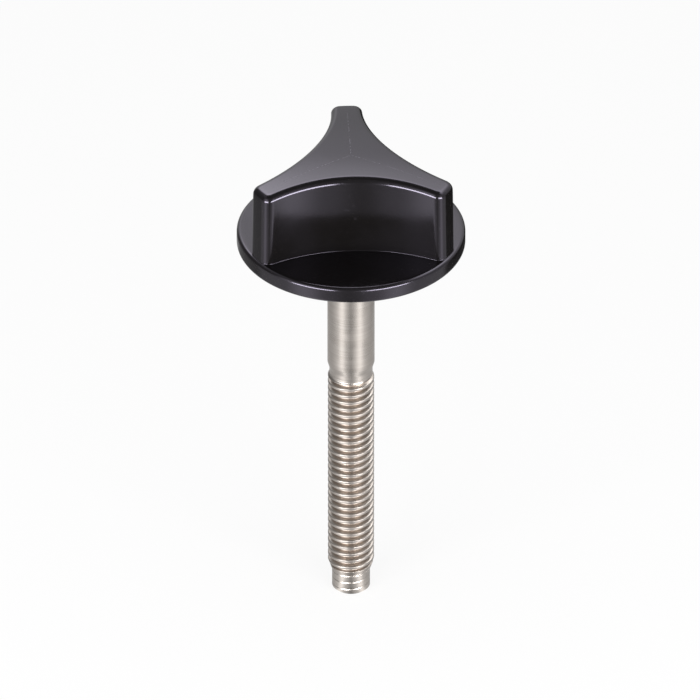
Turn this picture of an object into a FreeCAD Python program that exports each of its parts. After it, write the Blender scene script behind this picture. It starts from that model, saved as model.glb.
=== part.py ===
import FreeCAD, Part
import math
import os
import Sketcher

# Air filter fixing screw: a three-lobed knob on a round flange, with a threaded stud.
# The origin is the centre of the flange's underside and +Z runs up through the knob.
# One lobe points along +Y, so one finger bay faces -Y.

# How far a cut runs past the material that it clears, in millimetres.
OVERCUT = 2.0

# Turns of the thread, and the sides of each of the rings that stand for them.
THREAD_TURNS = 28
THREAD_SIDES = 24

LOBES = 3
FULL_TURN = 360.0

# A rounding of a square edge as three flats that touch it: how deep the first bevel
# cuts for each unit of radius, and the second ones that soften both its edges.
FIRST_BEVEL_RATIO = 2 - math.sqrt(2)
SECOND_BEVEL_RATIO = math.tan(math.pi / 8) - math.tan(math.pi / 16)

# Driving dimensions in millimetres and degrees: alias, value, meaning.
DIMENSIONS = [
    ("shank_diameter", 6.0, "plain shank"),
    ("shank_length", 17.7, "flange underside to the start of the neck taper"),
    ("neck_taper_length", 0.9, "cone from the shank down to the neck"),
    ("neck_diameter", 5.5, "relief between the shank and the thread"),
    ("neck_length", 1.0, "straight part of the neck"),
    ("thread_diameter", 5.9, "over the crests of an M6 coarse thread"),
    ("thread_pitch", 1.0, "crest to crest"),
    ("thread_depth", 0.6, "crest to root"),
    ("core_diameter", 4.0, "core inside the thread, which the rings cover"),
    ("end_taper_length", 1.6, "cone from the thread down to the pilot"),
    ("pilot_diameter", 4.85, "turned-down pilot that finds the threaded hole"),
    ("pilot_length", 2.7, "pilot, with its chamfer"),
    ("pilot_chamfer", 0.3, "chamfer round the end of the pilot"),
    ("seated_diameter", 5.0, "spigot above the shank's shoulder, pressed into the knob"),
    ("seated_length", 8.0, "length of the spigot"),
    ("seated_chamfer", 0.4, "chamfer on the spigot"),
    ("socket_clearance", 0.02, "gap round the spigot, and round the shank at the socket's mouth"),
    ("socket_drill_angle", 118.0, "point angle of the drill that made the socket"),
    ("flange_diameter", 29.0, "round flange"),
    ("flange_thickness", 2.2, "underside to the floor of the finger bays"),
    ("rim_top_bevel", 0.3, "broken upper edge of the flange"),
    ("rim_bottom_bevel", 0.4, "broken lower edge of the flange"),
    ("lobe_inset", 0.4, "flange's edge to a lobe's end face, at the flange"),
    ("lobe_end_draft", 0.8, "lean of the lobes' end faces"),
    ("lobe_height", 10.85, "flange to the middle of the crowned top"),
    ("crown_radius", 95.0, "radius of the sphere that the top is turned to"),
    ("waist_radius", 5.5, "axis to the nearest point of a bay's wall"),
    ("bay_radius", 20.8, "radius of each bay's hollow wall"),
    ("lobe_corner_round", 1.6, "rounding of the lobes' upright edges"),
    ("lobe_top_round", 0.85, "rounding all round the crowned top"),
]

# Sizes that follow from the driving ones: alias, formula.
DERIVED = [
    ("neck_start", "shank_length + neck_taper_length"),
    ("neck_end", "neck_start + neck_length"),
    ("thread_start", "neck_end"),
    ("thread_end", "thread_start + thread_pitch * %d" % THREAD_TURNS),
    ("ring_flat", "cos(180deg / %d)" % THREAD_SIDES),
    ("thread_lean", "atan(2 * thread_depth * ring_flat / thread_pitch)"),
    ("pilot_start", "thread_end + end_taper_length"),
    ("stud_reach", "pilot_start + pilot_length"),
    ("socket_radius", "seated_diameter / 2 + socket_clearance"),
    ("mouth_radius", "shank_diameter / 2 + socket_clearance"),
    ("mouth_depth", "mouth_radius - socket_radius"),
    ("socket_depth", "seated_length + socket_radius / tan(socket_drill_angle * 1deg / 2)"),
    ("crown_top", "flange_thickness + lobe_height"),
    ("lobe_reach", "flange_diameter / 2 - lobe_inset"),
    ("boss_top_radius", "lobe_reach - lobe_height * tan(lobe_end_draft * 1deg)"),
    ("crown_centre_depth", "crown_radius - crown_top"),
    ("crown_cut_reach", "flange_diameter / 2 + %s" % OVERCUT),
    ("crown_swing", "2 * asin(crown_cut_reach / crown_radius)"),
    ("bay_centre", "waist_radius + bay_radius"),
    ("corner_bevel", "lobe_corner_round * %s" % FIRST_BEVEL_RATIO),
    ("corner_soften", "lobe_corner_round * %s" % SECOND_BEVEL_RATIO),
    ("top_bevel", "lobe_top_round * %s" % FIRST_BEVEL_RATIO),
]

# Two lengths or places closer than this are the same, in millimetres.
SAME = 1e-4

VERTICAL_AXIS_INDEX = -2
HORIZONTAL_AXIS_INDEX = -1
SKETCH_ORIGIN = (-1, 1)
CENTRE_INDEX = 3


def new_sheet(doc):
    """Write the dimensions into a spreadsheet, one alias to a row."""
    sheet = doc.addObject("Spreadsheet::Sheet", "sizes")
    row = 0
    for alias, value, meaning in DIMENSIONS:
        row += 1
        sheet.set("A%d" % row, meaning)
        sheet.set("B%d" % row, str(value))
        sheet.setAlias("B%d" % row, alias)
    doc.recompute()
    for alias, formula in DERIVED:
        row += 1
        sheet.set("A%d" % row, alias.replace("_", " "))
        sheet.set("B%d" % row, "=" + formula)
        sheet.setAlias("B%d" % row, alias)
        doc.recompute()
    return sheet


def origin_feature(body, role):
    """One of the body's own origin planes or axes."""
    for feature in body.Origin.OriginFeatures:
        if feature.Role == role:
            return feature
    raise RuntimeError("no origin feature " + role)


def new_body(doc, name):
    """An empty body whose label names its file."""
    body = doc.addObject("PartDesign::Body", name)
    body.Label = name
    body.Placement = FreeCAD.Placement()
    return body


def new_sketch(body, name, role):
    """A sketch on one of the body's origin planes."""
    sketch = body.newObject("Sketcher::SketchObject", name)
    sketch.AttachmentSupport = [(origin_feature(body, role), "")]
    sketch.MapMode = "FlatFace"
    return sketch


def fix_distance(sketch, kind, geometry, end, formula):
    """Hold one end of a line at a distance from the sketch's origin, by a formula."""
    value = float(sketch.evalExpression(formula))
    if abs(value) < SAME:
        axis = VERTICAL_AXIS_INDEX if kind == "DistanceX" else HORIZONTAL_AXIS_INDEX
        sketch.addConstraint(Sketcher.Constraint("PointOnObject", geometry, end, axis))
    elif value > 0:
        held = Sketcher.Constraint(kind, *SKETCH_ORIGIN, geometry, end, value)
        number = sketch.addConstraint(held)
        sketch.setExpression("Constraints[%d]" % number, formula)
    else:
        held = Sketcher.Constraint(kind, geometry, end, *SKETCH_ORIGIN, -value)
        number = sketch.addConstraint(held)
        sketch.setExpression("Constraints[%d]" % number, "-(%s)" % formula)


def join_ends(sketch, edges):
    """Make each edge start where the one before it ends."""
    for index in range(edges):
        following = (index + 1) % edges
        sketch.addConstraint(Sketcher.Constraint("Coincident", index, 2, following, 1))


def draw_outline(sketch, corners):
    """A closed outline of straight lines; each corner is a pair of formulas."""
    places = []
    for across, up in corners:
        x = float(sketch.evalExpression(across))
        y = float(sketch.evalExpression(up))
        places.append(FreeCAD.Vector(x, y, 0))
    for index, place in enumerate(places):
        following = places[(index + 1) % len(places)]
        sketch.addGeometry(Part.LineSegment(place, following), False)
    join_ends(sketch, len(places))
    for index, (across, up) in enumerate(corners):
        fix_distance(sketch, "DistanceX", index, 1, across)
        fix_distance(sketch, "DistanceY", index, 1, up)


def turn(body, name, sketch, kind="PartDesign::Revolution"):
    """Turn a profile once round the body's Z axis, adding or removing it."""
    feature = body.newObject(kind, name)
    feature.Profile = sketch
    feature.ReferenceAxis = (origin_feature(body, "Z_Axis"), [""])
    feature.Angle = FULL_TURN
    return feature


def dress(body, name, base, edges, formula):
    """A chamfer on the named edges of the feature before it."""
    if not edges:
        raise RuntimeError("no edges found for " + name)
    feature = body.newObject("PartDesign::Chamfer", name)
    feature.Base = (base, edges)
    feature.setExpression("Size", formula)
    body.Tip = feature
    body.Document.recompute()
    return feature


def named_edges(shape):
    """Each edge with its name and five points along it, leaving out poles."""
    for number, edge in enumerate(shape.Edges, start=1):
        if not edge.Degenerated:
            yield "Edge%d" % number, edge.discretize(5)


def from_axis(point):
    """Distance of a point from the Z axis."""
    return math.hypot(point.x, point.y)


def is_level(points, height):
    """Whether all the points lie at one height."""
    return all(abs(point.z - height) < SAME for point in points)


def round_edges(shape, height, radius):
    """Names of the edges that run round the Z axis at one height and radius."""
    names = []
    for name, points in named_edges(shape):
        on_circle = all(abs(from_axis(point) - radius) < SAME for point in points)
        if on_circle and is_level(points, height):
            names.append(name)
    return names


def upright_edges(shape, floor, nearest):
    """Names of the edges that rise from the floor further out than nearest."""
    names = []
    for name, points in named_edges(shape):
        low, high = sorted((points[0], points[-1]), key=lambda point: point.z)
        from_floor = abs(low.z - floor) < SAME and high.z - low.z > SAME
        if from_floor and from_axis(low) > nearest:
            names.append(name)
    return names


def crown_edges(shape, centre, radius):
    """Names of the edges round the crown: on its sphere and clear of its middle."""
    names = []
    for name, points in named_edges(shape):
        on_sphere = all(
            abs(point.distanceToPoint(centre) - radius) < SAME for point in points)
        if on_sphere and min(from_axis(point) for point in points) > SAME:
            names.append(name)
    return names


def draw_ring(sketch):
    """A regular polygon round the axis, with its corners on the crest's circle."""
    radius = float(sketch.evalExpression("sizes.thread_diameter / 2"))
    corners = []
    for number in range(THREAD_SIDES):
        bearing = math.tau * number / THREAD_SIDES
        corners.append(FreeCAD.Vector(radius * math.cos(bearing), radius * math.sin(bearing), 0))
    for start, end in zip(corners, corners[1:] + corners[:1]):
        sketch.addGeometry(Part.LineSegment(start, end), False)
    crest = Part.Circle(FreeCAD.Vector(0, 0, 0), FreeCAD.Vector(0, 0, 1), radius)
    circle = sketch.addGeometry(crest, True)
    join_ends(sketch, THREAD_SIDES)
    fix_distance(sketch, "DistanceX", circle, CENTRE_INDEX, "0")
    fix_distance(sketch, "DistanceY", circle, CENTRE_INDEX, "0")
    number = sketch.addConstraint(Sketcher.Constraint("Radius", circle, radius))
    sketch.setExpression("Constraints[%d]" % number, "sizes.thread_diameter / 2 * 1mm")
    held = []
    for side in range(THREAD_SIDES):
        held.append(Sketcher.Constraint("PointOnObject", side, 1, circle))
        if side:
            held.append(Sketcher.Constraint("Equal", 0, side))
    sketch.addConstraint(held)
    fix_distance(sketch, "DistanceY", 0, 1, "0")


def add_thread(doc, body):
    """One ring, thickest at its crest, repeated down the stud for every turn."""
    outline = new_sketch(body, "ring_crest", "XY_Plane")
    outline.setExpression("AttachmentOffset.Base.z",
                          "-(sizes.thread_start + sizes.thread_pitch / 2) * 1mm")
    draw_ring(outline)
    ring = body.newObject("PartDesign::Pad", "thread_ring")
    ring.Profile = outline
    ring.SideType = "Two sides"
    for length, taper in (("Length", "TaperAngle"), ("Length2", "TaperAngle2")):
        ring.setExpression(length, "sizes.thread_pitch / 2")
        ring.setExpression(taper, "-sizes.thread_lean")
    ring.Refine = False
    doc.recompute()

    rings = body.newObject("PartDesign::LinearPattern", "thread_rings")
    rings.Originals = [ring]
    rings.Direction = (origin_feature(body, "Z_Axis"), [""])
    rings.Reversed = True
    rings.Occurrences = THREAD_TURNS
    rings.setExpression("Length", "sizes.thread_end - sizes.thread_start - sizes.thread_pitch")
    rings.Refine = False
    body.Tip = rings
    doc.recompute()
    return rings


def make_stud(doc):
    """The stainless stud: spigot, shank, neck, thread, taper and pilot.

    The thread is one ring for each turn, without its helix.
    """
    body = new_body(doc, "stud")
    profile = new_sketch(body, "stud_profile", "XZ_Plane")
    draw_outline(
        profile,
        [
            ("0", "sizes.seated_length"),
            ("sizes.seated_diameter / 2", "sizes.seated_length"),
            ("sizes.seated_diameter / 2", "0"),
            ("sizes.shank_diameter / 2", "0"),
            ("sizes.shank_diameter / 2", "-sizes.shank_length"),
            ("sizes.neck_diameter / 2", "-sizes.neck_start"),
            ("sizes.neck_diameter / 2", "-sizes.neck_end"),
            ("sizes.core_diameter / 2", "-sizes.thread_start"),
            ("sizes.core_diameter / 2", "-sizes.thread_end"),
            ("sizes.thread_diameter / 2", "-sizes.thread_end"),
            ("sizes.pilot_diameter / 2", "-sizes.pilot_start"),
            ("sizes.pilot_diameter / 2", "-sizes.stud_reach"),
            ("0", "-sizes.stud_reach"),
        ],
    )
    turned = turn(body, "stud_turned", profile)
    doc.recompute()

    sizes = doc.sizes
    edges = round_edges(turned.Shape, sizes.seated_length, sizes.seated_diameter / 2)
    seated = dress(body, "seated_end_chamfer", turned, edges, "sizes.seated_chamfer")
    edges = round_edges(seated.Shape, -sizes.stud_reach, sizes.pilot_diameter / 2)
    dress(body, "pilot_end_chamfer", seated, edges, "sizes.pilot_chamfer")
    add_thread(doc, body)
    return body


def turn_blank(doc, body):
    """Turn the knob's blank: the flange and a boss that leans in by the draft."""
    profile = new_sketch(body, "blank_profile", "XZ_Plane")
    draw_outline(
        profile,
        [
            ("0", "0"),
            ("sizes.flange_diameter / 2", "0"),
            ("sizes.flange_diameter / 2", "sizes.flange_thickness"),
            ("sizes.lobe_reach", "sizes.flange_thickness"),
            ("sizes.boss_top_radius", "sizes.crown_top"),
            ("0", "sizes.crown_top"),
        ],
    )
    blank = turn(body, "turned_blank", profile)
    doc.recompute()
    return blank


def draw_crown_cutter(sketch):
    """The space over the crown: an arc about a point on the axis, closed above it."""
    reach = float(sketch.evalExpression("sizes.crown_cut_reach"))
    top = float(sketch.evalExpression("sizes.crown_top"))
    radius = float(sketch.evalExpression("sizes.crown_radius"))
    centre = FreeCAD.Vector(0, top - radius, 0)
    start_angle = math.acos(reach / radius)
    circle = Part.Circle(centre, FreeCAD.Vector(0, 0, 1), radius)
    arc = Part.ArcOfCircle(circle, start_angle, math.pi - start_angle)
    corners = [
        arc.EndPoint,
        FreeCAD.Vector(-reach, top + OVERCUT, 0),
        FreeCAD.Vector(reach, top + OVERCUT, 0),
        arc.StartPoint,
    ]
    sketch.addGeometry(arc, False)
    for start, end in zip(corners, corners[1:]):
        sketch.addGeometry(Part.LineSegment(start, end), False)
    left = FreeCAD.Vector(-reach, centre.y, 0)
    right = FreeCAD.Vector(reach, centre.y, 0)
    sketch.addGeometry(Part.LineSegment(left, right), True)


def hold_crown_cutter(sketch):
    """Constrain the crown's cutter to the sheet."""
    arc, left_side, lid, right_side, axle = range(5)
    join_ends(sketch, axle)
    fix_distance(sketch, "DistanceX", arc, CENTRE_INDEX, "0")
    fix_distance(sketch, "DistanceY", arc, CENTRE_INDEX, "-sizes.crown_centre_depth")
    fix_distance(sketch, "DistanceX", arc, 1, "sizes.crown_cut_reach")
    fix_distance(sketch, "DistanceX", left_side, 1, "-sizes.crown_cut_reach")
    fix_distance(sketch, "DistanceX", lid, 1, "-sizes.crown_cut_reach")
    fix_distance(sketch, "DistanceY", lid, 1, "sizes.crown_top + %s" % OVERCUT)
    fix_distance(sketch, "DistanceX", right_side, 1, "sizes.crown_cut_reach")
    fix_distance(sketch, "DistanceY", right_side, 1, "sizes.crown_top + %s" % OVERCUT)
    for end, across in ((1, "-sizes.crown_cut_reach"), (2, "sizes.crown_cut_reach")):
        fix_distance(sketch, "DistanceX", axle, end, across)
        fix_distance(sketch, "DistanceY", axle, end, "-sizes.crown_centre_depth")
    radius = float(sketch.evalExpression("sizes.crown_radius"))
    number = sketch.addConstraint(Sketcher.Constraint("Radius", arc, radius))
    sketch.setExpression("Constraints[%d]" % number, "sizes.crown_radius * 1mm")


def cut_crown(doc, body):
    """Dome the boss: swing the cutter about a level axle through the dome's centre.

    The level axle keeps the sphere's poles away from the dome.
    """
    sketch = new_sketch(body, "crown_cutter", "XZ_Plane")
    draw_crown_cutter(sketch)
    hold_crown_cutter(sketch)
    crown = body.newObject("PartDesign::Groove", "crown")
    crown.Profile = sketch
    crown.ReferenceAxis = (sketch, ["Axis0"])
    crown.Midplane = True
    crown.setExpression("Angle", "sizes.crown_swing")
    body.Tip = crown
    doc.recompute()
    return crown


def cut_bays(doc, body):
    """Mill one hollow finger bay facing -Y and repeat it round the axis.

    The cutter's circle is drawn on the flange's top and the pocket opens upwards.
    """
    circle = new_sketch(body, "bay_circle", "XY_Plane")
    circle.setExpression("AttachmentOffset.Base.z", "sizes.flange_thickness * 1mm")
    radius = float(circle.evalExpression("sizes.bay_radius"))
    away = float(circle.evalExpression("sizes.bay_centre"))
    centre = FreeCAD.Vector(0, -away, 0)
    circle.addGeometry(Part.Circle(centre, FreeCAD.Vector(0, 0, 1), radius), False)
    fix_distance(circle, "DistanceX", 0, CENTRE_INDEX, "0")
    fix_distance(circle, "DistanceY", 0, CENTRE_INDEX, "-sizes.bay_centre")
    number = circle.addConstraint(Sketcher.Constraint("Radius", 0, radius))
    circle.setExpression("Constraints[%d]" % number, "sizes.bay_radius * 1mm")

    bay = body.newObject("PartDesign::Pocket", "finger_bay")
    bay.Profile = circle
    bay.Reversed = True
    bay.setExpression("Length", "sizes.lobe_height + %s" % OVERCUT)
    doc.recompute()

    bays = body.newObject("PartDesign::PolarPattern", "finger_bays")
    bays.Originals = [bay]
    bays.Axis = (origin_feature(body, "Z_Axis"), [""])
    bays.Angle = FULL_TURN
    bays.Occurrences = LOBES
    body.Tip = bays
    doc.recompute()
    return bays


def dress_knob(doc, body, rough):
    """Round the lobes' upright edges and the top, and break the rim's edges."""
    sizes = doc.sizes
    floor = sizes.flange_thickness
    rim = sizes.flange_diameter / 2
    centre = FreeCAD.Vector(0, 0, sizes.crown_top - sizes.crown_radius)

    edges = upright_edges(rough.Shape, floor, sizes.waist_radius)
    bevel = dress(body, "lobe_corner_bevels", rough, edges, "sizes.corner_bevel")
    edges = upright_edges(bevel.Shape, floor, sizes.waist_radius)
    corners = dress(body, "lobe_corners", bevel, edges, "sizes.corner_soften")
    edges = crown_edges(corners.Shape, centre, sizes.crown_radius)
    top = dress(body, "lobe_top", corners, edges, "sizes.top_bevel")
    edges = round_edges(top.Shape, floor, rim)
    upper = dress(body, "rim_top", top, edges, "sizes.rim_top_bevel")
    edges = round_edges(upper.Shape, 0.0, rim)
    return dress(body, "rim_bottom", upper, edges, "sizes.rim_bottom_bevel")


def bore_socket(body):
    """Drill and countersink the blind socket that holds the stud's spigot."""
    profile = new_sketch(body, "socket_profile", "XZ_Plane")
    draw_outline(
        profile,
        [
            ("0", "0"),
            ("sizes.mouth_radius", "0"),
            ("sizes.socket_radius", "sizes.mouth_depth"),
            ("sizes.socket_radius", "sizes.seated_length"),
            ("0", "sizes.socket_depth"),
        ],
    )
    socket = turn(body, "socket", profile, "PartDesign::Groove")
    body.Tip = socket
    return socket


def make_knob(doc):
    """The aluminium knob: turned blank, domed top, three milled bays and a socket."""
    body = new_body(doc, "knob")
    turn_blank(doc, body)
    cut_crown(doc, body)
    bays = cut_bays(doc, body)
    dress_knob(doc, body, bays)
    bore_socket(body)
    doc.recompute()
    return body


def check_document(doc):
    """Stop if any feature failed to recompute."""
    for item in doc.Objects:
        if "Invalid" in item.State or "Error" in item.State:
            raise RuntimeError("%s didn't recompute: %s" % (item.Name, item.State))


def export_bodies(bodies):
    """Check each body's solid and write it to parts/LABEL.step."""
    os.makedirs("parts", exist_ok=True)
    for body in bodies:
        shape = body.Shape
        if shape.isNull() or not shape.isValid() or len(shape.Solids) != 1:
            raise RuntimeError(body.Label + " isn't one valid solid")
    for body in bodies:
        body.Shape.exportStep("parts/%s.step" % body.Label)
        box = body.Shape.BoundBox
        print("%s: %.2f x %.2f x %.2f mm, %.1f mm3" % (
            body.Label, box.XLength, box.YLength, box.ZLength, body.Shape.Volume))


def main():
    doc = FreeCAD.newDocument("air_filter_fixing_screw")
    new_sheet(doc)
    bodies = [make_knob(doc), make_stud(doc)]
    doc.recompute()
    check_document(doc)
    export_bodies(bodies)


main()
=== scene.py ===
import math

import bpy
import numpy as np
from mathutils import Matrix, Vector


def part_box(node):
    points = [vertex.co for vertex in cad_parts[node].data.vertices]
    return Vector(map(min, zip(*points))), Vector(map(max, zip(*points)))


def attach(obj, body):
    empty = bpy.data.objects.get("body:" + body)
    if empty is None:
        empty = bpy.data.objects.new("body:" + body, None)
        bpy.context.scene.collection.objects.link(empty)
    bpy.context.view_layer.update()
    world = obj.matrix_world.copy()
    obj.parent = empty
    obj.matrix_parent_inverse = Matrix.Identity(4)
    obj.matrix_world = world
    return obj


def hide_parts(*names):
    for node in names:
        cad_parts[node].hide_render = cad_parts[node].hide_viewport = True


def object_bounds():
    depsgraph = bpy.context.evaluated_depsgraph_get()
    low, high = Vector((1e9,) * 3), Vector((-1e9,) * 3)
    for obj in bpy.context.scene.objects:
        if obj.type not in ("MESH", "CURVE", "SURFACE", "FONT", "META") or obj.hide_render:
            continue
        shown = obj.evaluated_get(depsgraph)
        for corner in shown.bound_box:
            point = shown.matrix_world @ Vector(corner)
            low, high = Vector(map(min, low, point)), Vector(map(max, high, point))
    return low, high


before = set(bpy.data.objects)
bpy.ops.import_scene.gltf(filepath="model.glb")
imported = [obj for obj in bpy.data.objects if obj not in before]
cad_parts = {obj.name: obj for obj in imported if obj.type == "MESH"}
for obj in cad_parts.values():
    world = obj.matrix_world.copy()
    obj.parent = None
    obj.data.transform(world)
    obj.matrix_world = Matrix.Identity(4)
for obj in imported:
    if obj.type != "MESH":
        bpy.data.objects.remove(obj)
CAD_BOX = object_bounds()
KNOB_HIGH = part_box("knob")[1]
STUD_LOW, STUD_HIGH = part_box("stud")

bl_info = {
    "name": "Air filter fixing screw",
    "version": (1, 0, 0),
    "blender": (4, 5, 0),
    "location": "3D View > Sidebar > Screw",
    "description": "Dresses the star knob and the threaded stud, and stages them",
    "category": "Add Mesh",
}

MM = 0.001

# Lobes of the star, and half of the sector that each one shares with a bay.
LOBES = 3
HALF_SECTOR = math.pi / LOBES
# The first bay faces -Y.
FIRST_BAY = -math.pi / 2
# How far a lobe's end face stands back from the flange's edge.
LOBE_SETBACK = 0.4 * MM

# Columns of half a bay's sector: on the bay, on the corner round and on the end face.
BAY_COLUMNS = 58
CORNER_COLUMNS = 20
END_COLUMNS = 8

# Rows of the knob, from the middle of the dome round to the socket.
DOME_ROWS = 25
TOP_ROUND_ROWS = 13
WALL_ROWS = 21
FOOT_ROWS = 8
BAY_FLOOR_ROWS = 11
RIM_TOP_ROWS = 7
RIM_ROWS = 5
RIM_BOTTOM_ROWS = 8
UNDERSIDE_ROWS = 9
SOCKET_ROWS = 3
# Share of the outline at which the dome's first row lies.
DOME_START = 0.04

# Columns and rows of the stud.
STUD_COLUMNS = 96
SHANK_ROWS = 30
NECK_TAPER_ROWS = 8
NECK_ROWS = 10
THREAD_ROWS_PER_TURN = 24
END_TAPER_ROWS = 40
PILOT_ROWS = 60
CHAMFER_ROWS = 6

# The cone at the thread's start, and where the thread fades in round it.
START_CONE = 0.2 * MM
FADE_BEFORE = 0.5 * MM
FADE_AFTER = 0.6 * MM
# How much of a thread's flank is rounded.
FLANK_SOFTNESS = 0.5

# Noise, in waves per metre. The tool marks' waves are long round the stud and short
# along it.
KNOB_SMUDGES = 120
KNOB_SPECKS = 1500
KNOB_GRAIN = 9000
SEAM_BREAKS = 2200
STUD_SMUDGES = 350
STUD_SPECKS = 2500
TOOL_MARKS = (60, 60, 5200)
# The values of the noise between which each mark comes in.
SMUDGE_LOW, SMUDGE_HIGH = 0.4, 0.65
SPECK_LOW, SPECK_HIGH = 0.74, 0.8
BREAK_LOW, BREAK_HIGH = 0.38, 0.6
RINGS_LOW, RINGS_HIGH = 0.3, 0.7
BUMP_DEPTH = 0.02 * MM

# The milled seams: how far from their middle line they fade, then where they fade
# towards the lobes' ends, and the heights between which they come in on the walls.
SEAM_CORE, SEAM_EDGE = 0.03 * MM, 0.1 * MM
SEAM_FADE, SEAM_END = 9.5 * MM, 12.5 * MM
SEAM_LOW, SEAM_HIGH = 11.4 * MM, 11.8 * MM

# How far the thread's own colour takes to come in at the neck and at the pilot.
THREAD_TOP_FADE = 0.3 * MM
THREAD_FOOT_FADE = 1.2 * MM

# The studio, as the metals mirror it. Bearings are in degrees from -Y to the right.
# The wall by the height of a direction of length 1, and by bearing.
WALL_BY_HEIGHT = [
    (0.0, 0.12), (0.31, 0.19), (0.53, 0.3), (0.63, 0.64), (0.72, 0.9), (0.84, 1.0),
    (0.9, 0.03), (1.0, 0.03),
]
WALL_BY_BEARING = [
    (-180, 0.68), (-170, 1.0), (-155, 0.8), (-140, 0.08), (-90, 0.06), (-60, 0.02),
    (60, 0.02), (90, 0.42), (130, 0.72), (168, 0.58), (180, 0.68),
]
# The glow over the softboxes by bearing, and the heights between which it fades.
GLOW_BY_BEARING = [
    (-85, 0.0), (-65, 0.5), (-45, 1.0), (-28, 0.35), (-5, 0.02), (20, 0.1), (42, 0.4),
    (65, 0.2), (85, 0.0),
]
GLOW_LOW, GLOW_HIGH = 0.5, 0.75
# The floor by bearing, and what remains of it further out, behind the lobes' ends.
FLOOR_BY_BEARING = [
    (-180, 0.4), (-125, 0.34), (-98, 0.34), (-70, 0.45), (-47, 1.0), (-23, 0.4),
    (-3, 0.16), (17, 0.4), (41, 1.0), (64, 0.45), (92, 0.36), (125, 0.36), (180, 0.4),
]
FAR_FLOOR_BY_BEARING = [
    (-180, 0.6), (-155, 0.8), (-146, 0.45), (-104, 0.45), (-96, 1.0), (96, 1.0),
    (104, 0.05), (165, 0.08), (180, 0.6),
]
NEAR_FLOOR, FAR_FLOOR = 70 * MM, 86 * MM
FLOOR_HALF_WIDTH = 1.5
FLOOR_GREY = 0.9
FLOOR_ROUGHNESS = 0.9
WHITE = (1, 1, 1)

# The photograph's width, and the camera's sensor and reach.
FRAME_PIXELS = 700
SENSOR_MM = 36.0
CAMERA_REACH = 100

# The Mix node's sockets for colours.
MIX_FIRST = 6
MIX_SECOND = 7
MIX_RESULT = 2


def length(name, description, default):
    """A size in metres for a property group."""
    return bpy.props.FloatProperty(
        name=name, description=description, default=default, unit="LENGTH", precision=5)


def angle(name, description, degrees):
    """An angle, given in degrees, for a property group."""
    return bpy.props.FloatProperty(
        name=name, description=description, default=math.radians(degrees), subtype="ANGLE")


def factor(name, description, default, highest=1.0):
    """A plain number from nothing to its highest value."""
    return bpy.props.FloatProperty(
        name=name, description=description, default=default, min=0.0, max=highest,
        subtype="FACTOR")


def colour(name, description, default):
    """A linear colour for a property group."""
    return bpy.props.FloatVectorProperty(
        name=name, description=description, default=default, size=3, min=0.0, max=1.0,
        subtype="COLOR")


class KnobSizes(bpy.types.PropertyGroup):
    """Sizes of the star knob."""

    flange_radius: length("Flange radius", "Axis to the edge of the flange", KNOB_HIGH[0])
    flange_thickness: length("Flange thickness", "Underside to the floor of the bays", 2.2 * MM)
    crown_top: length("Crown top", "Underside to the middle of the top", KNOB_HIGH[2])
    crown_radius: length("Crown radius", "Radius of the domed top", 95 * MM)
    lobe_reach: length("Lobe reach", "Axis to a lobe's end face", KNOB_HIGH[0] - LOBE_SETBACK)
    end_draft: angle("End draft", "Lean of the lobes' end faces", 0.8)
    waist_radius: length("Waist radius", "Axis to the nearest point of a bay", 5.5 * MM)
    bay_radius: length("Bay radius", "Radius of a bay's hollow wall", 20.8 * MM)
    corner_round: length("Corner round", "Rounding of the upright edges", 1.2 * MM)
    top_round: length("Top round", "Rounding all round the top", 0.85 * MM)
    foot_round: length("Foot round", "Hollow where the walls meet the flange", 0.08 * MM)
    rim_top_round: length("Upper rim round", "Rounding of the flange's upper edge", 0.5 * MM)
    rim_bottom_round: length("Lower rim round", "Rounding of the flange's lower edge", 0.45 * MM)
    mouth_radius: length("Mouth radius", "Hole round the shank", 3.02 * MM)
    socket_depth: length("Socket depth", "Depth of the hole", 1.0 * MM)


class StudSizes(bpy.types.PropertyGroup):
    """Sizes of the threaded stud."""

    shank_radius: length("Shank radius", "Plain shank", STUD_HIGH[0])
    shank_end: length("Shank end", "Flange underside to the neck taper", 17.7 * MM)
    neck_taper: length("Neck taper", "Length of the cone down to the neck", 0.9 * MM)
    neck_radius: length("Neck radius", "Relief before the thread", 2.75 * MM)
    neck_length: length("Neck length", "Straight part of the neck", 1.0 * MM)
    thread_radius: length("Thread radius", "Axis to the crests", 2.95 * MM)
    thread_length: length("Thread length", "From the neck to the end taper", 28.0 * MM)
    pitch: length("Pitch", "Rise of the thread in one turn", 1.0 * MM)
    thread_depth: length("Thread depth", "Crest to root", 0.58 * MM)
    crest_share: factor("Crest share", "Part of the pitch that the crest takes", 0.3)
    root_share: factor("Root share", "Part of the pitch that the root takes", 0.14)
    thread_turn: factor("Thread turn", "Where the thread starts, in turns", 0.76)
    end_taper: length("End taper", "Cone down to the pilot", 1.6 * MM)
    pilot_radius: length("Pilot radius", "Turned-down end", 2.425 * MM)
    pilot_chamfer: length("Pilot chamfer", "Chamfer round the end", 0.3 * MM)
    reach: length("Reach", "Flange underside to the tip", -STUD_LOW[2])
    seated: length("Seated", "How far the shank's top stands in the socket", 0.6 * MM)


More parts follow.
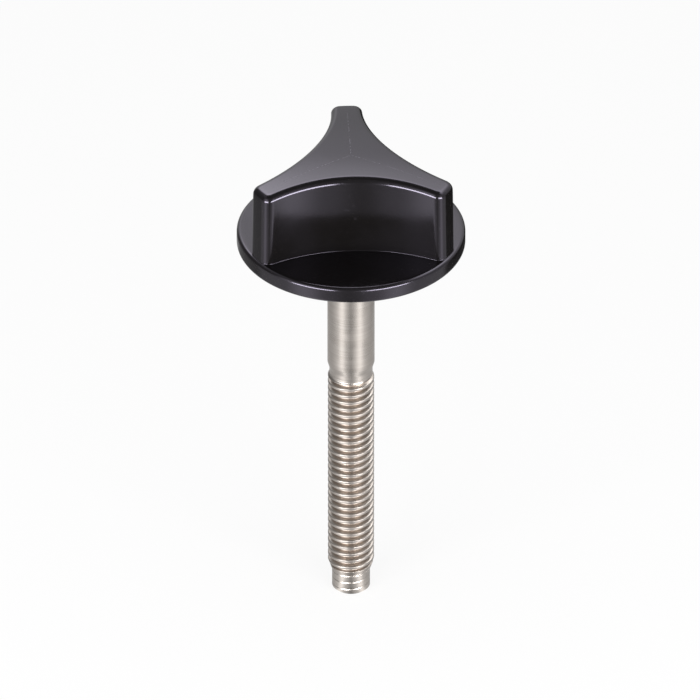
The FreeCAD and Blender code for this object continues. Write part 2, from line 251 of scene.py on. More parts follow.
class Finishes(bpy.types.PropertyGroup):
    """Colours and finishes of the two metals."""

    anodised: colour("Anodised black", "Colour of the dyed aluminium", (0.0036, 0.0032, 0.0028))
    anodised_sheen: colour("Anodised sheen", "Tint of its reflections", (0.87, 0.8, 1.0))
    anodised_roughness: factor("Anodised roughness", "Roughness of the knob", 0.15)
    anodised_ior: factor("Anodised IOR", "Refractive index of the oxide skin", 1.63, 3.0)
    dust: colour("Dust", "Colour of the smudges on the knob", (0.006, 0.0055, 0.006))
    dust_share: factor("Dust share", "How far the smudges take the dust's colour", 0.3)
    knob_speck_share: factor("Knob specks", "How light the knob's specks are", 0.2)
    knob_wear: factor("Knob wear", "How much rougher the knob is where smudged", 1.25, 3.0)
    grain_strength: factor("Grain", "Strength of the knob's fine grain", 0.04)
    seam: colour("Seam", "Colour of the milled seams", (0.04, 0.036, 0.044))
    seam_roughness: factor("Seam roughness", "Roughness that the seams add", 0.2)
    steel: colour("Steel", "Colour of the stainless stud", (0.62, 0.575, 0.535))
    steel_dark: colour("Dark steel", "Colour between its tool marks", (0.54, 0.495, 0.455))
    crest: colour("Thread crest", "Colour of the thread's crests", (0.5, 0.46, 0.425))
    # Painted shade: the thread's roots are darkened to this brown-grey; the stud's specks take
    # the same colour.
    root: colour("Thread root", "Colour in the roots of the thread", (0.46, 0.4, 0.355))
    steel_roughness: factor("Steel roughness", "Roughness of the turned shank", 0.27)
    thread_roughness: factor("Thread roughness", "Roughness of the thread", 0.32)
    # How far the roots take the painted shade.
    root_shade_share: factor("Root share", "How far the roots take their colour", 0.85)
    stud_speck_share: factor("Stud specks", "How dark the stud's specks are", 0.4)
    stud_wear: factor("Stud wear", "How much rougher the stud is where smudged", 1.2, 3.0)
    ring_strength: factor("Tool marks", "Strength of the tool marks' relief", 0.12)
    # The painted shade in the roots is full inside the root radius and gone at the crest radius.
    root_radius: length("Root radius", "Where the thread has its root colour", 2.5 * MM)
    crest_radius: length("Crest radius", "Where the thread has its crest colour", 2.85 * MM)
    thread_top: length("Thread top", "Depth at which the thread's finish starts", 19.6 * MM)
    thread_foot: length("Thread foot", "Depth at which the thread's finish ends", 49.2 * MM)


class StageSettings(bpy.types.PropertyGroup):
    """Camera, floor and light."""

    camera_elevation: angle("Camera elevation", "Height of the camera's view", 32.66)
    camera_swing: angle("Camera swing", "Turn of the camera to the left of -Y", 2.5)
    camera_distance: length("Camera distance", "From the aim to the camera", 3.0)
    pixels_per_mm: factor("Pixels per millimetre", "Scale of the picture", 7.865, 100.0)
    aim_drop: length("Aim drop", "Flange underside down to the camera's aim", 16.21 * MM)
    aim_left: length("Aim left", "How far the aim is to the left of the axis", 0.13 * MM)
    fill: factor("Fill", "Light that the room gives to rough surfaces", 0.8, 2.0)
    floor_white: factor("Floor white", "Share of the floor that is plain white", 0.8)
    wall_level: factor("Wall level", "Brightest part of the mirrored wall", 5.2, 100.0)
    glow_level: factor("Glow level", "Brightest part of the glow", 1.8, 100.0)
    ceiling_level: factor("Ceiling level", "Light from the rest of the room", 0.08)
    floor_level: factor("Floor level", "Brightest part of the mirrored floor", 1.45, 100.0)
    lamp_width: length("Lamp width", "Width of each softbox", 0.3)
    lamp_height: length("Lamp height", "Height of each softbox", 0.125)
    lamp_distance: length("Lamp distance", "From the knob to each softbox", 0.42)
    lamp_elevation: angle("Lamp elevation", "Height of the softboxes' middles", 1.5)
    lamp_left: angle("Left lamp", "Bearing of the left softbox from -Y", -38.0)
    lamp_right: angle("Right lamp", "Bearing of the right softbox from -Y", 32.0)
    lamp_left_level: factor("Left lamp level", "Radiance of the left softbox", 16.0, 100.0)
    lamp_right_level: factor("Right lamp level", "Radiance of the right softbox", 16.0, 100.0)


def sizes_of(context, name):
    """One of this file's property groups."""
    return getattr(context.scene, name)


def clear_mesh(name):
    """An empty mesh object in the scene, with any older one of its name removed."""
    old = bpy.data.objects.get(name)
    if old is not None:
        bpy.data.objects.remove(old, do_unlink=True)
    piece = bpy.data.objects.new(name, bpy.data.meshes.new(name))
    bpy.context.scene.collection.objects.link(piece)
    return piece


def fill_mesh(mesh, points, quads, triangles):
    """Put points, four-sided and three-sided faces into a mesh, all smooth."""
    corners = np.concatenate([quads.ravel(), triangles.ravel()])
    totals = np.concatenate([np.full(len(quads), 4), np.full(len(triangles), 3)])
    starts = np.concatenate([[0], np.cumsum(totals)[:-1]])
    mesh.vertices.add(len(points))
    mesh.vertices.foreach_set("co", points.ravel())
    mesh.loops.add(len(corners))
    mesh.loops.foreach_set("vertex_index", corners)
    mesh.polygons.add(len(totals))
    mesh.polygons.foreach_set("loop_start", starts)
    mesh.polygons.foreach_set("loop_total", totals)
    mesh.polygons.foreach_set("use_smooth", np.ones(len(totals), dtype=bool))
    mesh.update(calc_edges=True)
    mesh.validate()


def closed_surface(name, rows, first_pole, last_pole):
    """A surface closed round its columns and by a fan at each end.

    rows has the shape (rows, columns, 3). Columns run anticlockwise seen from +Z and
    rows run from the top down, which makes the faces point outwards.
    """
    row_count, column_count, _ = rows.shape
    grid = np.arange(row_count * column_count).reshape(row_count, column_count)
    beside = np.roll(grid, -1, axis=1)
    quads = np.stack([grid[:-1], grid[1:], beside[1:], beside[:-1]], axis=-1)
    first = grid.size
    last = first + 1
    top_fan = np.stack([np.full(column_count, first), grid[0], beside[0]], axis=-1)
    end_fan = np.stack([np.full(column_count, last), beside[-1], grid[-1]], axis=-1)
    points = np.concatenate([rows.reshape(-1, 3), [first_pole, last_pole]])
    piece = clear_mesh(name)
    fill_mesh(piece.data, points, quads.reshape(-1, 4), np.concatenate([top_fan, end_fan]))
    return piece


def column_stretches(bay_steps, corner_steps, end_steps):
    """Signed place of every column of one bay's sector, from lobe to lobe.

    A place from 0 to 1 is on the bay's wall, 1 to 2 on the corner round and 2 to 3 on
    the lobe's end face; the sign says which side of the bay's middle it is on. The
    last place belongs to the next sector and is left out.
    """
    half = np.concatenate([
        np.linspace(0, 1, bay_steps, endpoint=False),
        np.linspace(1, 2, corner_steps, endpoint=False),
        np.linspace(2, 3, end_steps + 1),
    ])
    return np.concatenate([-half[:0:-1], half[:-1]])


def half_sector(sizes, along, inset, rise):
    """Points from a bay's middle to a lobe's middle, with the bay facing +X.

    They lie on three arcs. The bay's arc has its centre on the bay's middle line, the
    end's arc has its centre on the axis, and the corner's arc touches both: the law of
    cosines on the triangle of their centres gives its place. Moving every wall in by
    the same amount keeps the centres and changes only the radii.
    """
    bay = sizes.bay_radius + inset
    end = sizes.lobe_reach - rise * math.tan(sizes.end_draft) - inset
    corner = sizes.corner_round - inset
    away = sizes.waist_radius + sizes.bay_radius
    to_corner = end - corner
    between = bay + corner
    turn = np.arccos((to_corner**2 + away**2 - between**2) / (2 * to_corner * away))
    corner_x = to_corner * np.cos(turn)
    corner_y = to_corner * np.sin(turn)
    sweep = np.arctan2(corner_y, away - corner_x)

    on_bay = np.clip(along, 0, 1) * sweep
    on_corner = -sweep + np.clip(along - 1, 0, 1) * (turn + sweep)
    on_end = turn + np.clip(along - 2, 0, 1) * (HALF_SECTOR - turn)
    wall = (away - bay * np.cos(on_bay), bay * np.sin(on_bay))
    rounding = (corner_x + corner * np.cos(on_corner), corner_y + corner * np.sin(on_corner))
    face = (end * np.cos(on_end), end * np.sin(on_end))
    stretches = [along <= 1, along <= 2]
    x = np.select(stretches, [wall[0], rounding[0]], face[0])
    y = np.select(stretches, [wall[1], rounding[1]], face[1])
    return x, y


def star_outline(sizes, places, inset, rise):
    """Points of the star's outline, drawn in by inset, at a height over the bays' floor.

    Half a sector is mirrored in the bay's middle line, and both halves are turned to
    the bearing of each bay.
    """
    x, y = half_sector(sizes, np.abs(places), inset, rise)
    y = y * np.where(places < 0, -1, 1)
    turned_x = []
    turned_y = []
    for sector in range(LOBES):
        bearing = FIRST_BAY + sector * 2 * HALF_SECTOR
        turned_x.append(x * math.cos(bearing) - y * math.sin(bearing))
        turned_y.append(x * math.sin(bearing) + y * math.cos(bearing))
    return np.concatenate(turned_x, axis=-1), np.concatenate(turned_y, axis=-1)


def crown_height(sizes, x, y):
    """Height of the domed top over a point: a sphere whose centre is on the axis."""
    radius = sizes.crown_radius
    return sizes.crown_top - radius + np.sqrt(radius**2 - x**2 - y**2)


def stack(x, y, z):
    """Columns of coordinates joined into points, with z spread over them."""
    return np.stack([x, y, np.broadcast_to(z, x.shape)], axis=-1)


def first_sector(row, places):
    """The first sector's part of a row; the other two are like it."""
    return row[:len(places)]


def after(start, end, count):
    """Evenly spaced values from start to end, without the first."""
    return np.linspace(start, end, count + 1)[1:]


def lobe_rows(sizes, places):
    """Rows from the dome, over its rounding, down the walls and into the foot hollow.

    The rounding is a quarter circle: at its angle a from the wall, the outline is
    drawn in by r(1 - cos a) and lies r(1 - sin a) under the dome, which keeps the
    wall's lean below it and the dome's slope above it. The walls then run straight to
    the foot, which is a hollow quarter circle.
    """
    floor = sizes.flange_thickness
    rise = sizes.crown_top - floor
    radius = sizes.top_round
    rows = []
    inner_x, inner_y = star_outline(sizes, places, radius, rise)
    for share in np.linspace(DOME_START, 1, DOME_ROWS, endpoint=False):
        x, y = inner_x * share, inner_y * share
        rows.append(stack(x, y, crown_height(sizes, x, y)))
    for bend in np.linspace(math.pi / 2, 0, TOP_ROUND_ROWS):
        inset = radius * (1 - math.cos(bend))
        below = radius * (1 - math.sin(bend))
        x, y = star_outline(sizes, places, inset, rise - below)
        rows.append(stack(x, y, crown_height(sizes, x, y) - below))
    shoulder = rows[-1][..., 2]
    foot = floor + sizes.foot_round
    for share in after(0, 1, WALL_ROWS):
        z = shoulder + (foot - shoulder) * share
        x, y = star_outline(sizes, places, 0.0, first_sector(z, places) - floor)
        rows.append(stack(x, y, z))
    for bend in after(0, math.pi / 2, FOOT_ROWS):
        spread = sizes.foot_round * (1 - math.cos(bend))
        z = foot - sizes.foot_round * math.sin(bend)
        x, y = star_outline(sizes, places, -spread, z - floor)
        rows.append(stack(x, y, z))
    return rows


def ring(unit, radius, z):
    """One row round the axis, at a radius and a height; unit holds its bearings."""
    return stack(unit[:, 0] * radius, unit[:, 1] * radius, z)


def flange_rows(sizes, foot):
    """Rows over the bays' floor, round the rim, under the flange and into the socket.

    The floor runs in straight lines from the foot's row to the rim. Both roundings of
    the rim are quarter circles.
    """
    bearing = np.arctan2(foot[:, 1], foot[:, 0])
    unit = np.stack([np.cos(bearing), np.sin(bearing)], axis=-1)
    rim = sizes.flange_radius
    floor = sizes.flange_thickness
    upper = sizes.rim_top_round
    lower = sizes.rim_bottom_round
    edge = unit * (rim - upper)
    rows = []
    for share in after(0, 1, BAY_FLOOR_ROWS):
        flat = foot[:, :2] + (edge - foot[:, :2]) * share
        rows.append(stack(flat[:, 0], flat[:, 1], floor))
    for bend in after(0, math.pi / 2, RIM_TOP_ROWS):
        z = floor - upper + upper * math.cos(bend)
        rows.append(ring(unit, rim - upper + upper * math.sin(bend), z))
    for share in after(0, 1, RIM_ROWS):
        rows.append(ring(unit, rim, floor - upper + (lower - floor + upper) * share))
    for bend in after(0, math.pi / 2, RIM_BOTTOM_ROWS):
        z = lower - lower * math.sin(bend)
        rows.append(ring(unit, rim - lower + lower * math.cos(bend), z))
    for radius in after(rim - lower, sizes.mouth_radius, UNDERSIDE_ROWS):
        rows.append(ring(unit, radius, 0.0))
    for depth in after(0, sizes.socket_depth, SOCKET_ROWS):
        rows.append(ring(unit, sizes.mouth_radius, depth))
    return rows


def build_knob(context):
    """The knob's whole surface, from the middle of the dome round to the socket."""
    sizes = sizes_of(context, "knob_sizes")
    places = column_stretches(BAY_COLUMNS, CORNER_COLUMNS, END_COLUMNS)
    rows = lobe_rows(sizes, places)
    rows += flange_rows(sizes, rows[-1])
    return closed_surface(
        "star_knob", np.array(rows), (0, 0, sizes.crown_top), (0, 0, sizes.socket_depth))


def thread_form(phase, flat, root):
    """Share of the thread's depth at a phase of 0 to 1 round the pitch.

    The crest is flat over the share flat, the root over the share root, and the two
    flanks are straight between them but for a slight rounding: the share t becomes
    t + FLANK_SOFTNESS * (3t^2 - 2t^3 - t).
    """
    from_crest = np.abs((phase + 0.5) % 1.0 - 0.5)
    flank = 0.5 - (flat + root) / 2
    straight = np.clip((from_crest - flat / 2) / flank, 0, 1)
    smooth = straight**2 * (3 - 2 * straight)
    return straight + FLANK_SOFTNESS * (smooth - straight)


def stud_stations(sizes):
    """Depths at which the neck, the thread, its end, the pilot and its chamfer start."""
    neck = sizes.shank_end + sizes.neck_taper
    thread = neck + sizes.neck_length
    end = thread + sizes.thread_length
    pilot = end + sizes.end_taper
    chamfer = sizes.reach - sizes.pilot_chamfer
    return neck, thread, end, pilot, chamfer


def stud_depths(sizes):
    """Depths below the flange of the stud's rows, closer together on the thread."""
    neck, thread, end, pilot, chamfer = stud_stations(sizes)
    turns = (end - thread) / sizes.pitch
    stretches = [
        (-sizes.seated, sizes.shank_end, SHANK_ROWS),
        (sizes.shank_end, neck, NECK_TAPER_ROWS),
        (neck, thread, NECK_ROWS),
        (thread, end, int(round(turns * THREAD_ROWS_PER_TURN))),
        (end, pilot, END_TAPER_ROWS),
        (pilot, chamfer, PILOT_ROWS),
    ]
    rows = [np.linspace(start, stop, count, endpoint=False) for start, stop, count in stretches]
    rows.append(np.linspace(chamfer, sizes.reach, CHAMFER_ROWS))
    return np.concatenate(rows)


def plain_radius(sizes, depth):
    """Radius of the stud before its thread is cut, straight between its corners."""
    neck, thread, end, pilot, chamfer = stud_stations(sizes)
    corners = [
        (-sizes.seated, sizes.shank_radius),
        (sizes.shank_end, sizes.shank_radius),
        (neck, sizes.neck_radius),
        (thread, sizes.neck_radius),
        (thread + START_CONE, sizes.thread_radius),
        (end, sizes.thread_radius),
        (pilot, sizes.pilot_radius),
        (chamfer, sizes.pilot_radius),
        (sizes.reach, sizes.pilot_radius - sizes.pilot_chamfer),
    ]
    depths, radii = zip(*corners)
    return np.interp(depth, depths, radii)


def stud_radius(sizes, depth, bearing):
    """Radius of the stud at a depth below the flange and a bearing round it.

    The thread is cut out of the plain outline as the thread form of
    depth / pitch + bearing / turn, which winds it right-handed, because the depth
    grows downwards. It fades in at the neck and out over the pilot's chamfer.
    """
    _, thread, _, _, chamfer = stud_stations(sizes)
    plain = plain_radius(sizes, depth)
    phase = depth / sizes.pitch + bearing / (2 * math.pi) + sizes.thread_turn
    form = thread_form(phase, sizes.crest_share, sizes.root_share)
    cut = sizes.thread_radius - sizes.thread_depth * form
    stations = [thread - FADE_BEFORE, thread + FADE_AFTER, chamfer, sizes.reach]
    strength = np.interp(depth, stations, [0, 1, 1, 0])
    return plain + (np.minimum(plain, cut) - plain) * strength


def build_stud(context):
    """The stud's whole surface, from its top inside the knob to the pilot's end."""
    sizes = sizes_of(context, "stud_sizes")
    depth = stud_depths(sizes)[:, None]
    bearing = np.linspace(0, 2 * math.pi, STUD_COLUMNS, endpoint=False)[None, :]
    radius = stud_radius(sizes, depth, bearing)
    rows = np.stack([
        radius * np.cos(bearing),
        radius * np.sin(bearing),
        np.broadcast_to(-depth, radius.shape),
    ], axis=-1)
    return closed_surface("threaded_stud", rows, (0, 0, sizes.seated), (0, 0, -sizes.reach))


def feed(tree, socket, value):
    """Link a socket to an input, or set the input to a plain value."""
    if isinstance(value, bpy.types.NodeSocket):
        tree.links.new(value, socket)
    else:
        socket.default_value = value


def calculate(tree, operation, first, second=None):
    """One Math node; each operand is a socket or a number."""
    node = tree.nodes.new("ShaderNodeMath")
    node.operation = operation
    feed(tree, node.inputs[0], first)
    if second is not None:
        feed(tree, node.inputs[1], second)
    return node.outputs[0]


def product(tree, first, *others):
    """Sockets and numbers multiplied together, from the first on."""
    for other in others:
        first = calculate(tree, "MULTIPLY", first, other)
    return first


def remap(tree, value, low, high, start=0.0, end=1.0):
    """A value from low to high carried smoothly over to start to end, and held beyond."""
    node = tree.nodes.new("ShaderNodeMapRange")
    node.interpolation_type = "SMOOTHSTEP"
    feed(tree, node.inputs["Value"], value)
    feed(tree, node.inputs["From Min"], low)
    feed(tree, node.inputs["From Max"], high)
    feed(tree, node.inputs["To Min"], start)
    feed(tree, node.inputs["To Max"], end)
    return node.outputs["Result"]


def fade(tree, value, low, high):
    """One below low, nothing above high, and smooth between them."""
    return remap(tree, value, low, high, 1.0, 0.0)


def noise(tree, vector, scale, detail):
    """The value of a noise texture."""
    node = tree.nodes.new("ShaderNodeTexNoise")
    feed(tree, node.inputs["Vector"], vector)
    feed(tree, node.inputs["Scale"], scale)
    node.inputs["Detail"].default_value = detail
    return node.outputs["Fac"]


def stretch(tree, vector, factors):
    """A vector scaled along each of its axes."""
    node = tree.nodes.new("ShaderNodeMapping")
    feed(tree, node.inputs["Vector"], vector)
    node.inputs["Scale"].default_value = factors
    return node.outputs["Vector"]


def solid(tone):
    """A socket as it is, or three numbers as an opaque colour."""
    if isinstance(tone, bpy.types.NodeSocket):
        return tone
    return (*tone, 1)


def blend(tree, share, first, second):
    """Two colours mixed by a share of 0 to 1."""
    node = tree.nodes.new("ShaderNodeMix")
    node.data_type = "RGBA"
    feed(tree, node.inputs["Factor"], share)
    feed(tree, node.inputs[MIX_FIRST], solid(first))
    feed(tree, node.inputs[MIX_SECOND], solid(second))
    return node.outputs[MIX_RESULT]


def relief(tree, height, strength):
    """The normal of a shallow bump."""
    node = tree.nodes.new("ShaderNodeBump")
    feed(tree, node.inputs["Height"], height)
    node.inputs["Strength"].default_value = strength
    node.inputs["Distance"].default_value = BUMP_DEPTH
    return node.outputs["Normal"]


def new_material(name):
    """A material with a Principled shader, its tree and the object's own coordinates."""
    material = bpy.data.materials.new(name)
    material.use_nodes = True
    tree = material.node_tree
    place = tree.nodes.new("ShaderNodeTexCoord").outputs["Object"]
    return material, tree, tree.nodes["Principled BSDF"], place


def handling_group():
    """Marks of handling that both metals share.

    Smudges are broad soft patches of noise. Specks are the few highest peaks of a
    finer noise, such as dust leaves.
    """
    name = "handling_marks"
    if name in bpy.data.node_groups:
        return bpy.data.node_groups[name]
    group = bpy.data.node_groups.new(name, "ShaderNodeTree")
    face = group.interface
    face.new_socket("Vector", in_out="INPUT", socket_type="NodeSocketVector")
    face.new_socket("Smudge Scale", in_out="INPUT", socket_type="NodeSocketFloat")
    face.new_socket("Speck Scale", in_out="INPUT", socket_type="NodeSocketFloat")
    face.new_socket("Smudge", in_out="OUTPUT", socket_type="NodeSocketFloat")
    face.new_socket("Speck", in_out="OUTPUT", socket_type="NodeSocketFloat")
    given = group.nodes.new("NodeGroupInput")
    result = group.nodes.new("NodeGroupOutput")
    broad = noise(group, given.outputs["Vector"], given.outputs["Smudge Scale"], detail=4)
    fine = noise(group, given.outputs["Vector"], given.outputs["Speck Scale"], detail=1)
    feed(group, result.inputs["Smudge"], remap(group, broad, SMUDGE_LOW, SMUDGE_HIGH))
    feed(group, result.inputs["Speck"], remap(group, fine, SPECK_LOW, SPECK_HIGH))
    return group


def handling_marks(tree, place, smudge_scale, speck_scale):
    """The smudge and speck masks at a place, from the shared group."""
    node = tree.nodes.new("ShaderNodeGroup")
    node.node_tree = handling_group()
    feed(tree, node.inputs["Vector"], place)
    node.inputs["Smudge Scale"].default_value = smudge_scale
    node.inputs["Speck Scale"].default_value = speck_scale
    return node.outputs["Smudge"], node.outputs["Speck"]


def split(tree, vector):
    """The three parts of a vector."""
    node = tree.nodes.new("ShaderNodeSeparateXYZ")
    feed(tree, node.inputs[0], vector)
    return node.outputs[0], node.outputs[1], node.outputs[2]


def from_axis(tree, x, y):
    """Distance from the Z axis: the root of the sum of the squares."""
    square_x = calculate(tree, "POWER", x, 2)
    square_y = calculate(tree, "POWER", y, 2)
    return calculate(tree, "SQRT", calculate(tree, "ADD", square_x, square_y))


def seam_mask(tree, place):
    """Thin lines along the middles of the lobes, where the milled tops meet.

    The bearing from a lobe's middle is folded into half a sector; its sine times the
    distance from the axis is the distance from the line. The lines fade towards the
    lobes' ends and down the walls, and noise breaks them up.
    """
    x, y, z = split(tree, place)
    radius = from_axis(tree, x, y)
    from_lobe = calculate(tree, "SUBTRACT", calculate(tree, "ARCTAN2", y, x), math.pi / 2)
    folded = calculate(tree, "PINGPONG", from_lobe, HALF_SECTOR)
    away = product(tree, radius, calculate(tree, "SINE", folded))
    line = fade(tree, away, SEAM_CORE, SEAM_EDGE)
    inner = fade(tree, radius, SEAM_FADE, SEAM_END)
    on_top = remap(tree, z, SEAM_LOW, SEAM_HIGH)
    breaks = noise(tree, place, SEAM_BREAKS, detail=1)
    broken = remap(tree, breaks, BREAK_LOW, BREAK_HIGH)
    return product(tree, line, inner, on_top, broken)


def anodised_material(finishes):
    """Glossy black anodised aluminium with faint smudges, dust and milled seams."""
    material, tree, shader, place = new_material("black_anodised_aluminium")
    smudge, speck = handling_marks(tree, place, KNOB_SMUDGES, KNOB_SPECKS)
    seam = seam_mask(tree, place)
    dusty = product(tree, smudge, finishes.dust_share)
    light = calculate(tree, "MAXIMUM", product(tree, speck, finishes.knob_speck_share), seam)
    tone = blend(tree, dusty, finishes.anodised, finishes.dust)
    feed(tree, shader.inputs["Base Color"], blend(tree, light, tone, finishes.seam))
    clean = finishes.anodised_roughness
    worn = remap(tree, smudge, 0, 1, clean, clean * finishes.knob_wear)
    milled = product(tree, seam, finishes.seam_roughness)
    feed(tree, shader.inputs["Roughness"], calculate(tree, "ADD", worn, milled))
    grain = noise(tree, place, KNOB_GRAIN, detail=2)
    feed(tree, shader.inputs["Normal"], relief(tree, grain, finishes.grain_strength))
    shader.inputs["IOR"].default_value = finishes.anodised_ior
    shader.inputs["Specular Tint"].default_value = solid(finishes.anodised_sheen)
    return material


def thread_masks(tree, place, finishes):
    """Where the thread is, by depth, and where its roots are, by distance from the axis."""
    x, y, z = split(tree, place)
    top = -finishes.thread_top
    foot = -finishes.thread_foot
    below_neck = fade(tree, z, top - THREAD_TOP_FADE, top)
    above_pilot = remap(tree, z, foot, foot + THREAD_FOOT_FADE)
    threaded = product(tree, below_neck, above_pilot)
    deep = fade(tree, from_axis(tree, x, y), finishes.root_radius, finishes.crest_radius)
    return threaded, product(tree, deep, threaded)


def steel_material(finishes):
    """Bright turned stainless steel, with painted shade, brown-grey, in the roots of the thread.

    The tool marks are noise squeezed along the axis, so that it runs in rings.
    """
    material, tree, shader, place = new_material("turned_stainless_steel")
    smudge, speck = handling_marks(tree, place, STUD_SMUDGES, STUD_SPECKS)
    threaded, in_root = thread_masks(tree, place, finishes)
    rings = noise(tree, stretch(tree, place, TOOL_MARKS), 1.0, detail=3)
    ringed = remap(tree, rings, RINGS_LOW, RINGS_HIGH)
    tone = blend(tree, ringed, finishes.steel_dark, finishes.steel)
    tone = blend(tree, threaded, tone, finishes.crest)
    # Painted shade: the roots of the thread are darkened to the brown-grey root colour.
    painted_root_shade = product(tree, in_root, finishes.root_shade_share)
    tone = blend(tree, painted_root_shade, tone, finishes.root)
    specked = product(tree, speck, finishes.stud_speck_share)
    feed(tree, shader.inputs["Base Color"], blend(tree, specked, tone, finishes.root))
    rough = remap(tree, threaded, 0, 1, finishes.steel_roughness, finishes.thread_roughness)
    worn = remap(tree, smudge, 0, 1, 1.0, finishes.stud_wear)
    feed(tree, shader.inputs["Roughness"], product(tree, rough, worn))
    feed(tree, shader.inputs["Normal"], relief(tree, rings, finishes.ring_strength))
    shader.inputs["Metallic"].default_value = 1.0
    return material


def set_camera(stage):
    """The photograph's camera: far away, above, and a little to the left."""
    camera_data = bpy.data.cameras.new("photo_camera")
    camera = bpy.data.objects.new("photo_camera", camera_data)
    bpy.context.scene.collection.objects.link(camera)
    bpy.context.scene.camera = camera
    distance = stage.camera_distance
    picture_width_mm = FRAME_PIXELS / stage.pixels_per_mm
    camera_data.sensor_width = SENSOR_MM
    camera_data.lens = SENSOR_MM * distance / MM / picture_width_mm
    camera_data.clip_end = CAMERA_REACH
    level = distance * math.cos(stage.camera_elevation)
    camera.location = (
        -level * math.sin(stage.camera_swing) - stage.aim_left,
        -level * math.cos(stage.camera_swing),
        distance * math.sin(stage.camera_elevation) - stage.aim_drop,
    )
    camera.rotation_euler = (
        math.pi / 2 - stage.camera_elevation, 0, -stage.camera_swing)


def ramp(tree, value, stops):
    """A grey colour ramp; each stop is a position and a level."""
    node = tree.nodes.new("ShaderNodeValToRGB")
    node.color_ramp.interpolation = "EASE"
    elements = node.color_ramp.elements
    for position, level in stops[2:]:
        elements.new(position)
    for element, (position, level) in zip(elements, sorted(stops)):
        element.position = position
        element.color = (level, level, level, 1)
    feed(tree, node.inputs["Fac"], value)
    return node.outputs["Color"]


def bearing_ramp(tree, turn, stops):
    """A grey ramp right round; each stop is a bearing in degrees and a level."""
    return ramp(tree, turn, [(0.5 + degrees / 360, level) for degrees, level in stops])


def turn_of(tree, x, y):
    """The bearing of x and y as a place on a ramp: a half is -Y, and more is to the right."""
    bearing = calculate(tree, "ARCTAN2", x, product(tree, y, -1))
    return calculate(tree, "ADD", calculate(tree, "DIVIDE", bearing, 2 * math.pi), 0.5)


def room_light(tree, direction, stage):
    """How bright the room above the floor is in a direction, as the metals mirror it.

    Behind the object a lit wall grows brighter upwards, and is dark towards the left.
    Both softboxes glow a little above themselves; the ceiling and the rest are dark.
    """
    x, y, z = split(tree, direction)
    turn = turn_of(tree, x, y)
    wall_height = ramp(tree, z, WALL_BY_HEIGHT)
    wall_side = bearing_ramp(tree, turn, WALL_BY_BEARING)
    glow_height = fade(tree, z, GLOW_LOW, GLOW_HIGH)
    glow_side = bearing_ramp(tree, turn, GLOW_BY_BEARING)
    wall = product(tree, wall_height, wall_side, stage.wall_level)
    glow = product(tree, glow_height, glow_side, stage.glow_level)
    lit = calculate(tree, "ADD", wall, glow)
    return calculate(tree, "ADD", lit, stage.ceiling_level)


def floor_light(tree, place, stage):
    """How bright the floor is at a place, as the metals mirror it.

    It is brightest to the left and right of the camera, and away from the object it
    is dark behind the ends of the two front lobes.
    """
    x, y, _ = split(tree, place)
    turn = turn_of(tree, x, y)
    near = bearing_ramp(tree, turn, FLOOR_BY_BEARING)
    far = bearing_ramp(tree, turn, FAR_FLOOR_BY_BEARING)
    distance = remap(tree, from_axis(tree, x, y), NEAR_FLOOR, FAR_FLOOR)
    return product(tree, near, blend(tree, distance, WHITE, far), stage.floor_level)


def ray_kinds(tree):
    """Whether a ray comes from the camera, also through glass, and whether it is glossy."""
    path = tree.nodes.new("ShaderNodeLightPath").outputs
    seen = calculate(tree, "MAXIMUM", path["Is Camera Ray"], path["Is Transmission Ray"])
    return seen, path["Is Glossy Ray"]


def set_world(stage):
    """A white background for the camera, which metal sees as the room shades it.

    Rough surfaces get an even grey light from it, the fill.
    """
    world = bpy.data.worlds.new("studio")
    bpy.context.scene.world = world
    world.use_nodes = True
    tree = world.node_tree
    direction = tree.nodes.new("ShaderNodeTexCoord").outputs["Generated"]
    seen, glossy = ray_kinds(tree)
    shown = calculate(tree, "MAXIMUM", seen, glossy)
    white = blend(tree, glossy, WHITE, room_light(tree, direction, stage))
    background = tree.nodes["Background"]
    feed(tree, background.inputs["Color"], blend(tree, shown, [stage.fill] * 3, white))
    background.inputs["Strength"].default_value = 1.0


def floor_material(stage):
    """A white floor that keeps the object's shadow but shows it only faintly.

    Metal sees the same white, as the room shades it.
    """
    material, tree, shader, place = new_material("white_floor")
    shader.inputs["Base Color"].default_value = solid([FLOOR_GREY] * 3)
    shader.inputs["Roughness"].default_value = FLOOR_ROUGHNESS
    shader.inputs["Specular IOR Level"].default_value = 0.0
    seen, glossy = ray_kinds(tree)
    share = calculate(tree, "MAXIMUM", product(tree, seen, stage.floor_white), glossy)
    white = tree.nodes.new("ShaderNodeEmission")
    shaded = blend(tree, glossy, WHITE, floor_light(tree, place, stage))
    feed(tree, white.inputs["Color"], shaded)
    mix = tree.nodes.new("ShaderNodeMixShader")
    feed(tree, mix.inputs[0], share)
    tree.links.new(shader.outputs[0], mix.inputs[1])
    tree.links.new(white.outputs[0], mix.inputs[2])
    tree.links.new(mix.outputs[0], tree.nodes["Material Output"].inputs["Surface"])
    return material


def build_floor():
    """A wide plain floor under the pilot's end."""
    half = FLOOR_HALF_WIDTH
    low = CAD_BOX[0][2]
    piece = clear_mesh("studio_floor")
    corners = [(-half, -half, low), (half, -half, low), (half, half, low), (-half, half, low)]
    piece.data.from_pydata(corners, [], [(0, 1, 2, 3)])
    return piece


def add_softbox(name, stage, bearing, radiance):
    """A rectangular lamp in front, turned to the knob.

    bearing is the angle from -Y to the right. A lamp of area A that gives the
    radiance L takes pi * A * L watts.
    """
    lamp = bpy.data.lights.new(name, "AREA")
    lamp.shape = "RECTANGLE"
    lamp.size = stage.lamp_width
    lamp.size_y = stage.lamp_height
    lamp.energy = math.pi * stage.lamp_width * stage.lamp_height * radiance
    box = bpy.data.objects.new(name, lamp)
    bpy.context.scene.collection.objects.link(box)
    level = stage.lamp_distance * math.cos(stage.lamp_elevation)
    box.location = (
        level * math.sin(bearing),
        -level * math.cos(bearing),
        stage.lamp_distance * math.sin(stage.lamp_elevation),
    )
    box.rotation_euler = (math.pi / 2 - stage.lamp_elevation, 0, bearing)
    return box


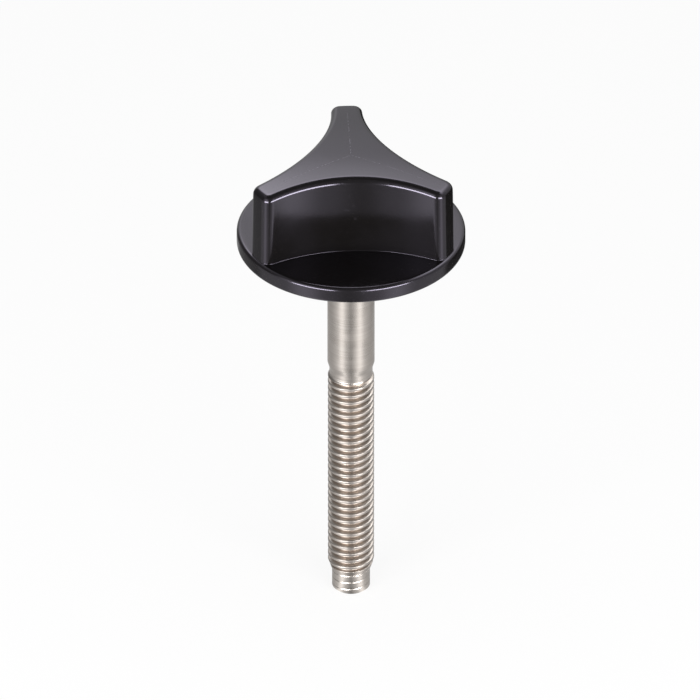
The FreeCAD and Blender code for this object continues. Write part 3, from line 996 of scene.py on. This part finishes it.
class SCREW_OT_knob(bpy.types.Operator):
    """Build the star knob's surface and its anodised finish"""

    bl_idname = "screw.knob"
    bl_label = "Star knob"

    def execute(self, context):
        piece = build_knob(context)
        piece.data.materials.append(anodised_material(sizes_of(context, "screw_finishes")))
        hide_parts("knob")
        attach(piece, "root")
        return {"FINISHED"}


class SCREW_OT_stud(bpy.types.Operator):
    """Build the threaded stud's surface and its steel finish"""

    bl_idname = "screw.stud"
    bl_label = "Threaded stud"

    def execute(self, context):
        piece = build_stud(context)
        piece.data.materials.append(steel_material(sizes_of(context, "screw_finishes")))
        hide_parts("stud")
        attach(piece, "root")
        return {"FINISHED"}


class SCREW_OT_stage(bpy.types.Operator):
    """Set the camera, the floor and the studio light"""

    bl_idname = "screw.stage"
    bl_label = "Studio"

    def execute(self, context):
        stage = sizes_of(context, "screw_stage")
        set_camera(stage)
        set_world(stage)
        floor = build_floor()
        floor.data.materials.append(floor_material(stage))
        left = add_softbox("left_softbox", stage, stage.lamp_left, stage.lamp_left_level)
        right = add_softbox("right_softbox", stage, stage.lamp_right, stage.lamp_right_level)
        return {"FINISHED"}


class SCREW_PT_panel(bpy.types.Panel):
    """The screw's builders in the 3D view's sidebar"""

    bl_idname = "SCREW_PT_panel"
    bl_label = "Air filter fixing screw"
    bl_space_type = "VIEW_3D"
    bl_region_type = "UI"
    bl_category = "Screw"

    def draw(self, context):
        for operator in OPERATORS:
            self.layout.operator(operator.bl_idname)


GROUPS = {
    "knob_sizes": KnobSizes,
    "stud_sizes": StudSizes,
    "screw_finishes": Finishes,
    "screw_stage": StageSettings,
}
OPERATORS = [SCREW_OT_knob, SCREW_OT_stud, SCREW_OT_stage]


def register():
    """Register the classes and hang the property groups on the scene."""
    for group in GROUPS.values():
        bpy.utils.register_class(group)
    for operator in OPERATORS:
        bpy.utils.register_class(operator)
    bpy.utils.register_class(SCREW_PT_panel)
    for name, group in GROUPS.items():
        setattr(bpy.types.Scene, name, bpy.props.PointerProperty(type=group))


def unregister():
    """Take the property groups and the classes away again."""
    for name in GROUPS:
        delattr(bpy.types.Scene, name)
    bpy.utils.unregister_class(SCREW_PT_panel)
    for operator in reversed(OPERATORS):
        bpy.utils.unregister_class(operator)
    for group in reversed(GROUPS.values()):
        bpy.utils.unregister_class(group)


def main():
    """Build every piece and the stage, in order."""
    register()
    bpy.context.scene.view_settings.view_transform = "Standard"
    bpy.ops.screw.knob()
    bpy.ops.screw.stud()
    bpy.ops.screw.stage()


if __name__ == "__main__":
    main()
